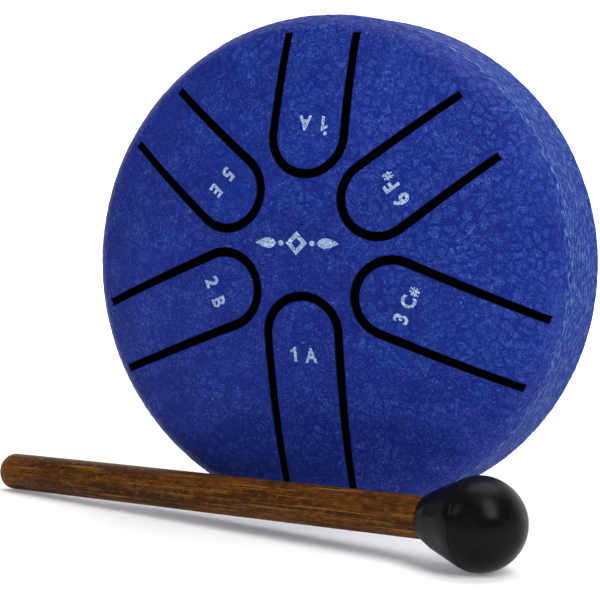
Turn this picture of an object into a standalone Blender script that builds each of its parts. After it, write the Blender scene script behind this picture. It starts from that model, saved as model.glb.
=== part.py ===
"""Six-note pocket steel tongue drum standing on its rim, with its beater lying in front of it.

Units are metres, +Z is up and the floor is Z = 0. The drum's domed playing face looks along -Y.
The drum is designed in its own frame, whose +Z is the drum's axis, pointing out of the playing
face, and whose origin is the dome's highest point. An empty turns that frame onto its rim.
"""

from math import atan2, cos, degrees, hypot, pi, radians, sin

import bmesh
import bpy
from mathutils import Matrix, Vector

MM = 0.001

# ---------------------------------------------------------------- driving dimensions (mm, degrees)
R_FACE = 38.06  # outer radius where the side wall starts, a 3 inch drum
R_REAR = 38.50  # outer radius at the wall's rear edge: the pressing's draft
SHEET = 1.0  # steel sheet
DOME_2 = 0.1860  # dome drop = R (DOME_2 q^2 + DOME_6 q^6), with q = r / R
DOME_6 = 0.0252
R_DOME = 38.10
CORNER_START = 35.0  # where the dome starts to steepen towards the wall
RIM_LEAN = 62.0  # how far below level it has turned where it meets the wall, in a soft crease
WALL_START = 10.20  # depth below the dome's top
WALL_END = 26.10

PATTERN = (0.06, 1.49)  # centre that the six tongues point at
SLOT_HALF_PITCH = 5.57  # slot centreline to the tongue's centreline, at the tongue's round
PITCH_TAPER = 0.0126  # the two slots close in by this much per millimetre outwards, each
SLOT = 1.36  # slot width at the tongue's round
SLOT_TAPER = 0.0084  # and its narrowing per millimetre outwards
ROOT_INSET = 0.7  # a tongue's root line, before the end of its shorter slot
ROOT_GAP = 0.3  # between a tongue's root and the face
# name: direction from the pattern's centre, distance of the tip's round, distances of the two slots' square ends
TONGUES = {
    "tongue_a_low": (-88.0, 11.1, 35.2, 35.2),
    "tongue_b": (201.4, 13.3, 35.8, 34.7),
    "tongue_c_sharp": (-21.4, 15.1, 36.4, 36.65),
    "tongue_e": (141.2, 15.7, 33.8, 33.4),
    "tongue_f_sharp": (37.6, 14.7, 32.45, 31.8),
    "tongue_a_high": (88.8, 18.0, 33.4, 33.45),
}

LAP = 3.2  # how far the base's lip reaches up inside the wall
SEAM_GAP = 0.35
BASE_CORNER = 10.0  # outer radius of the base's corner
BASE_LEAN = 15.0  # the base leans in by this from the seam on
FOOT_CIRCLE = 21.0
FOOT_ANGLES = (30.0, 150.0, 270.0)
FOOT_R = 4.0
FOOT_HEIGHT = 2.4
FOOT_STEM = 1.5
FOOT_GAP = 0.3

SHAFT_R = 2.93
HEAD_R = 6.42
HEAD_CENTRE = (34.09, -19.80, 6.44)  # from the floor point under the dome's top
SHAFT_END = (-58.65, 15.53, 2.96)
COLLAR = 8.6  # collar's end behind the head's centre
COLLAR_R = 3.5
BORE_GAP = 0.25
SHAFT_IN_HEAD = 1.5  # how far the shaft passes the head's centre

DRUM_AT = (9.36, -5.18)  # floor point under the dome's top, measured from the set's middle
STEPS = 64  # sides of a full turn
HALF_STEP = 180.0 / STEPS  # turns the shells so that a side, and not an edge, lies on the floor


# ---------------------------------------------------------------- helpers
def clear_scene():
    for obj in list(bpy.data.objects):
        bpy.data.objects.remove(obj, do_unlink=True)
    for collection in list(bpy.data.collections):
        bpy.data.collections.remove(collection)


def new_collection(name):
    collection = bpy.data.collections.new(name)
    bpy.context.scene.collection.children.link(collection)
    return collection


def finish(name, colour, roughness, metallic=0.0):
    material = bpy.data.materials.new(name)
    material.use_nodes = True
    shader = material.node_tree.nodes["Principled BSDF"]
    shader.inputs["Base Color"].default_value = (*colour, 1.0)
    shader.inputs["Roughness"].default_value = roughness
    shader.inputs["Metallic"].default_value = metallic
    material.diffuse_color = (*colour, 1.0)
    return material


def empty(name, parent, local, collection):
    obj = bpy.data.objects.new(name, None)
    obj.empty_display_size = 0.01
    collection.objects.link(obj)
    obj.parent = parent
    obj.matrix_basis = local
    return obj


def part(name, mesh, parent, local, material, collection):
    obj = bpy.data.objects.new(name, mesh)
    collection.objects.link(obj)
    obj.parent = parent
    obj.matrix_basis = local
    if material and not mesh.materials:
        mesh.materials.append(material)
    return obj


def profile_mesh(name, points, start=0.0):
    """A polyline to turn with a Screw modifier, points as (radius, height) in mm, start in degrees."""
    mesh = bpy.data.meshes.new(name)
    edges = [(i, i + 1) for i in range(len(points) - 1)]
    x, y = cos(radians(start)), sin(radians(start))
    mesh.from_pydata([(r * x * MM, r * y * MM, z * MM) for r, z in points], edges, [])
    return mesh


def turn(obj, steps=STEPS):
    screw = obj.modifiers.new("turned", "SCREW")
    screw.axis = "Z"
    screw.angle = 2 * pi
    screw.steps = steps
    screw.render_steps = steps
    screw.use_merge_vertices = True
    screw.merge_threshold = 1e-5
    screw.use_smooth_shade = True
    screw.use_normal_calculate = False
    return obj


def sheet_metal(obj, thickness):
    """Thickness grows inwards from the outer surface."""
    solidify = obj.modifiers.new("sheet", "SOLIDIFY")
    solidify.thickness = thickness * MM
    solidify.offset = -1.0
    solidify.use_even_offset = True
    return obj


def boolean(obj, cutter, operation):
    cut = obj.modifiers.new(cutter.name, "BOOLEAN")
    cut.operation = operation
    cut.solver = "EXACT"
    cut.object = cutter
    return cut


def prism(name, outline, bottom, top, parent, collection):
    """A cutter: a flat outline (mm, in the drum's face plane) extruded between two heights."""
    curve = bpy.data.curves.new(name + "_outline", "CURVE")
    curve.dimensions = "2D"
    curve.fill_mode = "BOTH"
    curve.extrude = 0.5 * (top - bottom) * MM
    spline = curve.splines.new("POLY")
    spline.points.add(len(outline) - 1)
    for point, (x, y) in zip(spline.points, outline):
        point.co = (x * MM, y * MM, 0.0, 1.0)
    spline.use_cyclic_u = True
    flat = bpy.data.objects.new(name + "_outline", curve)
    collection.objects.link(flat)
    graph = bpy.context.evaluated_depsgraph_get()
    mesh = bpy.data.meshes.new_from_object(flat.evaluated_get(graph))
    bpy.data.objects.remove(flat, do_unlink=True)
    bm = bmesh.new()
    bm.from_mesh(mesh)
    bmesh.ops.remove_doubles(bm, verts=bm.verts, dist=1e-6)
    bmesh.ops.recalc_face_normals(bm, faces=bm.faces)
    bm.to_mesh(mesh)
    bm.free()
    return as_cutter(name, mesh, parent, Matrix.Translation((0, 0, 0.5 * (top + bottom) * MM)), collection)


def drill(name, radius, bottom, top, at, parent, collection, sides=32):
    mesh = bpy.data.meshes.new(name)
    bm = bmesh.new()
    bmesh.ops.create_cone(
        bm, cap_ends=True, segments=sides, radius1=radius * MM, radius2=radius * MM, depth=(top - bottom) * MM
    )
    bm.to_mesh(mesh)
    bm.free()
    local = Matrix.Translation((at[0] * MM, at[1] * MM, 0.5 * (top + bottom) * MM))
    return as_cutter(name, mesh, parent, local, collection)


def as_cutter(name, mesh, parent, local, collection):
    obj = part(name, mesh, parent, local, None, collection)
    obj.hide_render = True
    obj.display_type = "WIRE"
    return obj


def arc(cx, cy, radius, start, end, count):
    """Points of an arc, in mm, with both ends."""
    return [
        (cx + radius * cos(radians(a)), cy + radius * sin(radians(a)))
        for a in (start + (end - start) * i / count for i in range(count + 1))
    ]


# ---------------------------------------------------------------- the drum's shape
def dome(r):
    """Height of the face's outer surface at a distance from the axis."""
    q = r / R_DOME
    return -R_DOME * (DOME_2 * q**2 + DOME_6 * q**6)


def dome_slope(r):
    """Angle of the face below level at a distance from the axis, in degrees."""
    q = r / R_DOME
    return degrees(atan2(2 * DOME_2 * q + 6 * DOME_6 * q**5, 1.0))


def face_profile():
    """Outer surface of the face and wall, from the dome's top to the wall's rear edge."""
    rings = [0.0, 8.0, 15.0, 21.0, 26.5, 31.0, 33.4, CORNER_START]
    points = [(r, dome(r)) for r in rings]
    # the corner: a curve that leaves the dome at its slope and steepens to the crease
    slope = radians(dome_slope(CORNER_START))
    x0, z0 = points[-1]
    x3, z3 = R_FACE, -WALL_START
    reach = 0.36 * hypot(x3 - x0, z3 - z0)
    lean = radians(RIM_LEAN)
    x1, z1 = x0 + reach * cos(slope), z0 - reach * sin(slope)
    x2, z2 = x3 - reach * cos(lean), z3 + reach * sin(lean)
    for i in range(1, 5):
        t = i / 4
        weights = ((1 - t) ** 3, 3 * t * (1 - t) ** 2, 3 * t * t * (1 - t), t**3)
        points.append(
            (
                sum(w * x for w, x in zip(weights, (x0, x1, x2, x3))),
                sum(w * z for w, z in zip(weights, (z0, z1, z2, z3))),
            )
        )
    points.append((R_REAR, -WALL_END))
    return points


def face_height(r):
    """Height of the outer surface at a distance from the axis, corner included."""
    points = face_profile()
    for (r0, z0), (r1, z1) in zip(points, points[1:]):
        if r <= r1:
            return z0 + (z1 - z0) * (r - r0) / (r1 - r0)
    return points[-1][1]


def base_profile():
    """Outer surface of the base: a lip inside the wall, a shoulder, the corner and a flat."""
    lip = R_REAR - SHEET - 0.33
    shoulder = -(WALL_END + SEAM_GAP)
    edge = R_REAR - 0.2
    cx = edge - BASE_CORNER * cos(radians(BASE_LEAN))
    cz = shoulder + BASE_CORNER * sin(radians(BASE_LEAN))
    corner = [(x, z) for x, z in arc(cx, cz, BASE_CORNER, -BASE_LEAN, -90.0, 4)]
    return [(lip, shoulder + LAP), (lip, shoulder), *corner, (0.0, cz - BASE_CORNER)]


def base_floor():
    return base_profile()[-1][1]


def along(angle, s, v):
    """A point of the face plane: s out along a tongue from the pattern's centre, v across it."""
    u = radians(angle)
    return (PATTERN[0] + s * cos(u) - v * sin(u), PATTERN[1] + s * sin(u) + v * cos(u))


def slot_edges(s, tip):
    """How far a slot's inner and outer edges are from the tongue's centreline, at a distance along it."""
    pitch = SLOT_HALF_PITCH - PITCH_TAPER * max(0.0, s - tip)
    half = 0.5 * (SLOT - SLOT_TAPER * max(0.0, s - tip))
    return pitch - half, pitch + half


def root_distance(ends):
    return min(ends) - ROOT_INSET


def window_outline(angle, tip, *ends):
    """Tongue and its U slot together, with the slots' square ends standing past the root line."""
    root = root_distance(ends)
    left, right, across = slot_edges(ends[0], tip), slot_edges(ends[1], tip), slot_edges(root, tip)[0]
    local = [
        (root, across),
        (ends[0], left[0]),
        (ends[0], left[1]),
        *arc(tip, 0.0, slot_edges(tip, tip)[1], 90.0, 270.0, 14),
        (ends[1], -right[1]),
        (ends[1], -right[0]),
        (root, -across),
    ]
    return [along(angle, s, v) for s, v in local]


def tongue_outline(angle, tip, *ends):
    root = root_distance(ends) - ROOT_GAP
    across = slot_edges(root, tip)[0]
    local = [(root, across), *arc(tip, 0.0, slot_edges(tip, tip)[0], 90.0, 270.0, 14), (root, -across)]
    return [along(angle, s, v) for s, v in local]


def foot_profile(floor):
    """A push-in rubber foot: a button outside, a stem through the sheet and a bead inside."""
    outside = floor - FOOT_GAP
    inside = floor + SHEET + FOOT_GAP
    return [
        (0.0, inside + 2.0),
        (1.1, inside + 1.7),
        (2.2, inside + 0.6),
        (2.2, inside),
        (FOOT_STEM, inside),
        (FOOT_STEM, outside),
        (FOOT_R, outside),
        (FOOT_R, outside - FOOT_HEIGHT + 0.6),
        (FOOT_R - 0.6, outside - FOOT_HEIGHT),
        (0.0, outside - FOOT_HEIGHT),
    ]


def shaft_profile(length):
    """Round stick, its far end rounded over. Height 0 is the head's centre."""
    far = -length
    return [
        (0.0, SHAFT_IN_HEAD),
        (SHAFT_R - 0.3, SHAFT_IN_HEAD),
        (SHAFT_R, SHAFT_IN_HEAD - 0.3),
        (SHAFT_R, -COLLAR),
        (SHAFT_R, 0.5 * (far - COLLAR)),
        (SHAFT_R, far + 1.3),
        (SHAFT_R - 0.35, far + 0.45),
        (SHAFT_R - 1.1, far + 0.08),
        (0.0, far),
    ]


def head_profile():
    """Rubber head: a ball in front that runs back into a cone, with a blind bore for the stick."""
    bore = SHAFT_R + BORE_GAP
    nose = arc(0.0, 0.0, HEAD_R, 90.0, -6.0, 9)
    return [
        *nose,
        (6.15, -1.5),
        (4.35, -6.5),
        (COLLAR_R, -COLLAR),
        (bore, -COLLAR),
        (bore, SHAFT_IN_HEAD + BORE_GAP),
        (0.0, SHAFT_IN_HEAD + BORE_GAP),
    ]


# ---------------------------------------------------------------- build
def build():
    clear_scene()
    parts = new_collection("steel_tongue_drum")
    cutters = new_collection("cutters")

    blue = finish("blue_powder_coat", (0.022, 0.038, 0.27), 0.45, 0.15)
    black_rubber = finish("black_rubber", (0.012, 0.012, 0.014), 0.6)
    wood = finish("brown_wood", (0.085, 0.048, 0.022), 0.45)

    floor_point = Vector((DRUM_AT[0], DRUM_AT[1], 0.0))
    stand = Matrix.Translation((floor_point + Vector((0, 0, R_REAR * cos(radians(HALF_STEP))))) * MM) @ Matrix.Rotation(pi / 2, 4, "X")
    drum = empty("drum_frame", None, stand, parts)
    here = Matrix.Identity(4)

    # the face and wall, one pressing, with six windows for the tongues and their slots
    shell_mesh = profile_mesh("face_profile", face_profile(), HALF_STEP)
    shell_mesh.materials.append(blue)
    top_shell = sheet_metal(turn(part("top_shell", shell_mesh, drum, here, blue, parts)), SHEET)

    # the six tongues, each on an empty whose Y axis is its root line
    for name, (angle, tip, *ends) in TONGUES.items():
        window = prism(name + "_window", window_outline(angle, tip, *ends), -20.0, 5.0, drum, cutters)
        boolean(top_shell, window, "DIFFERENCE")
        x, y = along(angle, root_distance(ends), 0.0)
        z = face_height(hypot(x, y)) - SHEET / 2
        at_root = Matrix.Translation(Vector((x, y, z)) * MM) @ Matrix.Rotation(radians(angle), 4, "Z")
        hinge = empty(name + "_root", drum, at_root, parts)
        blank = prism(name + "_blank", tongue_outline(angle, tip, *ends), -20.0, 5.0, drum, cutters)
        tongue = sheet_metal(turn(part(name, shell_mesh, hinge, at_root.inverted(), blue, parts)), SHEET)
        boolean(tongue, blank, "INTERSECT")

    # the base, pressed from the same sheet, its lip inside the wall
    base_mesh = profile_mesh("base_profile", base_profile(), HALF_STEP)
    bottom_shell = sheet_metal(turn(part("bottom_shell", base_mesh, drum, here, blue, parts)), SHEET)

    # three push-in rubber feet
    floor = base_floor()
    foot_mesh = profile_mesh("foot_profile", foot_profile(floor))
    foot_mesh.materials.append(black_rubber)
    for letter, angle in zip("abc", FOOT_ANGLES):
        at = (FOOT_CIRCLE * cos(radians(angle)), FOOT_CIRCLE * sin(radians(angle)))
        hole = drill("foot_hole_" + letter, FOOT_STEM + FOOT_GAP, floor - 2, floor + 3, at, drum, cutters, 20)
        boolean(bottom_shell, hole, "DIFFERENCE")
        local = Matrix.Translation((at[0] * MM, at[1] * MM, 0.0))
        turn(part("foot_" + letter, foot_mesh, drum, local, black_rubber, parts), 20)

    # the beater: a wooden stick in a rubber head, lying on the floor in front of the drum
    head_at = floor_point + Vector(HEAD_CENTRE)
    end_at = floor_point + Vector(SHAFT_END)
    reach = head_at - end_at
    lie = Matrix.Translation(head_at * MM) @ reach.to_track_quat("Z", "Y").to_matrix().to_4x4()
    beater = empty("mallet_frame", None, lie, parts)
    shaft = part("mallet_shaft", profile_mesh("shaft_profile", shaft_profile(reach.length)), beater, here, wood, parts)
    turn(shaft, 24)
    head = part("mallet_head", profile_mesh("head_profile", head_profile()), beater, here, black_rubber, parts)
    turn(head, 28)

    bpy.context.view_layer.update()


build()
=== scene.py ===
"""Looks of the six-note steel tongue drum and its beater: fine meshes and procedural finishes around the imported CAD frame.

Lengths in the helpers are millimetres in the drum's own frame (x right, y up, z out of the playing face, origin at the
dome's highest point) or in the beater's (z along the stick, origin at the head's centre), and metres in the scene.
"""

import bpy
import numpy as np
from math import atan2, cos, degrees, hypot, pi, radians, sin
from mathutils import Matrix, Vector, noise
from mathutils.geometry import delaunay_2d_cdt


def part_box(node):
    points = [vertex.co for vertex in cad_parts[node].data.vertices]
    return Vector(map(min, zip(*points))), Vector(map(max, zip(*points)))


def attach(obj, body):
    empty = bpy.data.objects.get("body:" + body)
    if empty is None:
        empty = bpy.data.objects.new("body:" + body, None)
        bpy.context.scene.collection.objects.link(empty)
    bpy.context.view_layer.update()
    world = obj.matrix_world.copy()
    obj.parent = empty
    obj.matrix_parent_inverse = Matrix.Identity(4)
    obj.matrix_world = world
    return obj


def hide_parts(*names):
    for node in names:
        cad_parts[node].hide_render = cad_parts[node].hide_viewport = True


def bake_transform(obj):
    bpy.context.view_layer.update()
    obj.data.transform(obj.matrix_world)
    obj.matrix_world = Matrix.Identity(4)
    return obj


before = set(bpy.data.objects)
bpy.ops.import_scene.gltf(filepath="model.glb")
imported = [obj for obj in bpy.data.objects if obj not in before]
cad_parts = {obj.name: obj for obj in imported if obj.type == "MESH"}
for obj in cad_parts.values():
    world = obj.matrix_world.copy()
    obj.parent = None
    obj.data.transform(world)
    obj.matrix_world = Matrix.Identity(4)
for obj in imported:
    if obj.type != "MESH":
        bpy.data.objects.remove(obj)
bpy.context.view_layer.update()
MM = 0.001

# ------------------------------------------------------------------ the frame's places
shell_lo, shell_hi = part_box("top_shell")
AX, AY, AZ = 0.5 * (shell_lo.x + shell_hi.x), shell_lo.y, 0.5 * (shell_lo.z + shell_hi.z)
R_REAR = 0.5 * (shell_hi.x - shell_lo.x) / MM - 0.02
R_FACE = R_REAR - 0.44
R_DOME, DOME_2, DOME_6 = 38.10, 0.1860, 0.0252
CORNER, RIM_LEAN, WALL_START, WALL_END, SHEET = 35.0, 62.0, 10.20, 26.10, 1.0
PATTERN = (0.06, 1.49)
PITCH, PITCH_TAPER, SLOT, SLOT_TAPER, EDGE = 5.57, 0.0126, 1.36, 0.0084, 0.22
TONGUES = {
    "tongue_a_low": (-88.0, 11.1, 35.2, 35.2),
    "tongue_b": (201.4, 13.3, 35.8, 34.7),
    "tongue_c_sharp": (-21.4, 15.1, 36.4, 36.65),
    "tongue_e": (141.2, 15.7, 33.8, 33.4),
    "tongue_f_sharp": (37.6, 14.7, 32.45, 31.8),
    "tongue_a_high": (88.8, 18.0, 33.4, 33.45),
}
RIM = 37.15  # the face is meshed flat out to here, and ring by ring beyond


def root_of(tongue):
    return min(tongue[2:]) - 0.7


def drum_to_row(p):
    p = np.asarray(p, float)
    return np.stack([AX + p[:, 0] * MM, AY - p[:, 2] * MM, AZ + p[:, 1] * MM], 1)


def dome(r):
    q = r / R_DOME
    return -R_DOME * (DOME_2 * q**2 + DOME_6 * q**6)


def corner_curve(count):
    """The corner between face and wall, both ends included."""
    q = CORNER / R_DOME
    slope = atan2(2 * DOME_2 * q + 6 * DOME_6 * q**5, 1.0)
    x0, z0 = CORNER, dome(CORNER)
    x3, z3 = R_FACE, -WALL_START
    reach = 0.36 * hypot(x3 - x0, z3 - z0)
    lean = radians(RIM_LEAN)
    x1, z1 = x0 + reach * cos(slope), z0 - reach * sin(slope)
    x2, z2 = x3 - reach * cos(lean), z3 + reach * sin(lean)
    t = np.linspace(0, 1, count + 1)
    w = ((1 - t) ** 3, 3 * t * (1 - t) ** 2, 3 * t * t * (1 - t), t**3)
    return sum(a * b for a, b in zip(w, (x0, x1, x2, x3))), sum(a * b for a, b in zip(w, (z0, z1, z2, z3)))


corner_r, corner_z = corner_curve(300)
TABLE_R = np.concatenate([np.linspace(0, CORNER, 500)[:-1], corner_r])
TABLE_Z = np.concatenate([dome(np.linspace(0, CORNER, 500)[:-1]), corner_z])
TABLE_SLOPE = np.gradient(TABLE_Z, TABLE_R)


def surface(r):
    """Height of the face, corner included, at a distance from the axis."""
    return np.interp(r, TABLE_R, TABLE_Z)


def gradient(r):
    return np.interp(r, TABLE_R, TABLE_SLOPE)


HEAD_R, SHAFT_R, COLLAR = 6.40, 2.93, 8.6
floor_point = Vector((AX, AY, 0.0))
head_at = floor_point + Vector((34.09, -19.80, 6.44)) * MM
end_at = floor_point + Vector((-58.65, 15.53, 2.96)) * MM
reach = head_at - end_at
TURN = reach.to_track_quat("Z", "Y").to_matrix()
LENGTH = reach.length / MM


def lie(points):
    return points @ np.array(TURN).T * MM + np.array(head_at)


# ------------------------------------------------------------------ the wrinkled coat, as a height in mm
def wrinkle_one(x, y, z):
    shift = noise.noise_vector(Vector((x * 0.55, y * 0.55, z * 0.55)))
    p = Vector((x, y, z)) * 0.62 + shift * 0.30
    d, _ = noise.voronoi(p)
    ridge = max(0.0, 1.0 - (d[1] - d[0]) * 1.9)
    p2 = Vector((x + 31.0, y, z)) * 1.15 + shift * 0.4
    d2, _ = noise.voronoi(p2)
    fine = max(0.0, 1.0 - (d2[1] - d2[0]) * 2.2)
    swell = noise.noise(Vector((x * 0.23, y * 0.23, z * 0.23)))
    return 0.040 * ridge * ridge + 0.020 * fine * fine + 0.018 * swell - 0.066


def wrinkle(points, scale=1.0):
    return np.array([wrinkle_one(*map(float, p)) for p in points]) * scale


# ------------------------------------------------------------------ mesh helpers
def vertex_normals(points, faces):
    """Area-weighted normals of the vertices of triangles and quads."""
    total = np.zeros_like(points)
    for size in (3, 4):
        some = np.array([f for f in faces if len(f) == size], int)
        if not len(some):
            continue
        a, b, c = points[some[:, 0]], points[some[:, 1]], points[some[:, 2]]
        n = np.cross(b - a, c - a) if size == 3 else np.cross(c - a, points[some[:, 3]] - b)
        for k in range(size):
            np.add.at(total, some[:, k], n)
    return total / np.maximum(np.linalg.norm(total, axis=1, keepdims=True), 1e-12)


def make_mesh(name, points, faces, materials, indices=None, smooth=True):
    mesh = bpy.data.meshes.new(name)
    mesh.from_pydata([tuple(p) for p in points], [], [tuple(int(i) for i in f) for f in faces])
    for material in materials:
        mesh.materials.append(material)
    if indices is not None:
        mesh.polygons.foreach_set("material_index", np.asarray(indices, np.int32))
    mesh.polygons.foreach_set("use_smooth", np.full(len(mesh.polygons), smooth))
    mesh.update()
    obj = bpy.data.objects.new(name, mesh)
    bpy.context.scene.collection.objects.link(obj)
    return obj


def lathe(profile, columns, displace=None):
    """Points and quads of a turned profile [(r, z)...], outer side listed top to bottom. Ends on the axis are fans."""
    profile = [(max(r, 0.0), z) for r, z in profile]
    points, faces, rings = [], [], []
    for r, z in profile:
        if r < 1e-6:
            rings.append([len(points)])
            points.append((0.0, 0.0, z))
        else:
            rings.append(list(range(len(points), len(points) + columns)))
            points += [(r * cos(2 * pi * k / columns), r * sin(2 * pi * k / columns), z) for k in range(columns)]
    for a, b in zip(rings, rings[1:]):
        for k in range(columns):
            n = (k + 1) % columns
            if len(a) == 1 and len(b) == 1:
                continue
            if len(a) == 1:
                faces.append((a[0], b[k], b[n]))
            elif len(b) == 1:
                faces.append((a[k], b[0], a[n]))
            else:
                faces.append((a[k], b[k], b[n], a[n]))
    return np.array(points), faces, rings


def dense(profile, step):
    """The same polyline with points no further apart than step."""
    out = [profile[0]]
    for (r0, z0), (r1, z1) in zip(profile, profile[1:]):
        count = max(1, int(np.ceil(hypot(r1 - r0, z1 - z0) / step)))
        out += [(r0 + (r1 - r0) * i / count, z0 + (z1 - z0) * i / count) for i in range(1, count + 1)]
    return out


def arc(cx, cy, radius, start, end, count):
    return [
        (cx + radius * cos(radians(a)), cy + radius * sin(radians(a)))
        for a in (start + (end - start) * i / count for i in range(count + 1))
    ]


# ------------------------------------------------------------------ materials
class Nodes:
    """A short way to write a node tree."""

    def __init__(self, name):
        self.material = bpy.data.materials.new(name)
        self.material.use_nodes = True
        self.tree = self.material.node_tree
        self.shader = self.tree.nodes["Principled BSDF"]

    def new(self, kind, **values):
        node = self.tree.nodes.new(kind)
        for key, value in values.items():
            setattr(node, key, value)
        return node

    def link(self, a, b):
        self.tree.links.new(a, b)

    def put(self, socket, value):
        if isinstance(value, bpy.types.NodeSocket):
            self.link(value, socket)
        elif value is not None:
            socket.default_value = value

    def math(self, operation, a, b=None, c=None, clamp=False):
        node = self.new("ShaderNodeMath", operation=operation, use_clamp=clamp)
        for socket, value in zip(node.inputs, (a, b, c)):
            self.put(socket, value)
        return node.outputs[0]

    def vector(self, operation, a, b=None, scale=None):
        node = self.new("ShaderNodeVectorMath", operation=operation)
        self.put(node.inputs[0], a)
        if b is not None:
            self.put(node.inputs[1], b)
        if scale is not None:
            self.put(node.inputs["Scale"], scale)
        return node.outputs[1] if operation == "LENGTH" else node.outputs[0]

    def position(self, scale=1000.0):
        return self.vector("SCALE", self.new("ShaderNodeTexCoord").outputs["Object"], scale=scale)

    def noise(self, vector, scale, detail=2.0, rough=0.5, distortion=0.0, colour=False):
        node = self.new("ShaderNodeTexNoise")
        self.put(node.inputs["Vector"], vector)
        node.inputs["Scale"].default_value = scale
        node.inputs["Detail"].default_value = detail
        node.inputs["Roughness"].default_value = rough
        node.inputs["Distortion"].default_value = distortion
        return node.outputs["Color" if colour else "Fac"]

    def edges(self, vector, scale):
        node = self.new("ShaderNodeTexVoronoi", feature="DISTANCE_TO_EDGE")
        self.put(node.inputs["Vector"], vector)
        node.inputs["Scale"].default_value = scale
        return node.outputs["Distance"]

    def ramp(self, value, low, high, to_low=0.0, to_high=1.0, smooth=True):
        node = self.new("ShaderNodeMapRange", interpolation_type="SMOOTHSTEP" if smooth else "LINEAR")
        self.put(node.inputs["Value"], value)
        for key, number in (("From Min", low), ("From Max", high), ("To Min", to_low), ("To Max", to_high)):
            node.inputs[key].default_value = number
        return node.outputs["Result"]

    def mix(self, factor, a, b):
        node = self.new("ShaderNodeMix", data_type="RGBA")
        self.put(node.inputs[0], factor)
        self.put(node.inputs[6], a if not isinstance(a, tuple) else (*a, 1.0))
        self.put(node.inputs[7], b if not isinstance(b, tuple) else (*b, 1.0))
        return node.outputs[2]

    def bump(self, height, distance, strength=1.0, normal=None):
        node = self.new("ShaderNodeBump")
        node.inputs["Strength"].default_value = strength
        node.inputs["Distance"].default_value = distance
        self.put(node.inputs["Height"], height)
        if normal is not None:
            self.put(node.inputs["Normal"], normal)
        return node.outputs[0]

    def done(self, colour=None, roughness=None, normal=None, metallic=None, specular=None):
        for key, value in (
            ("Base Color", colour),
            ("Roughness", roughness),
            ("Normal", normal),
            ("Metallic", metallic),
            ("Specular IOR Level", specular),
        ):
            if value is not None:
                self.put(self.shader.inputs[key], (*value, 1.0) if isinstance(value, tuple) else value)
        return self.material


def srgb(r, g, b):
    """Linear colour from 0-255 display values."""
    out = []
    for c in (r, g, b):
        c /= 255.0
        out.append(c / 12.92 if c <= 0.04045 else ((c + 0.055) / 1.055) ** 2.4)
    return tuple(out)


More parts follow.
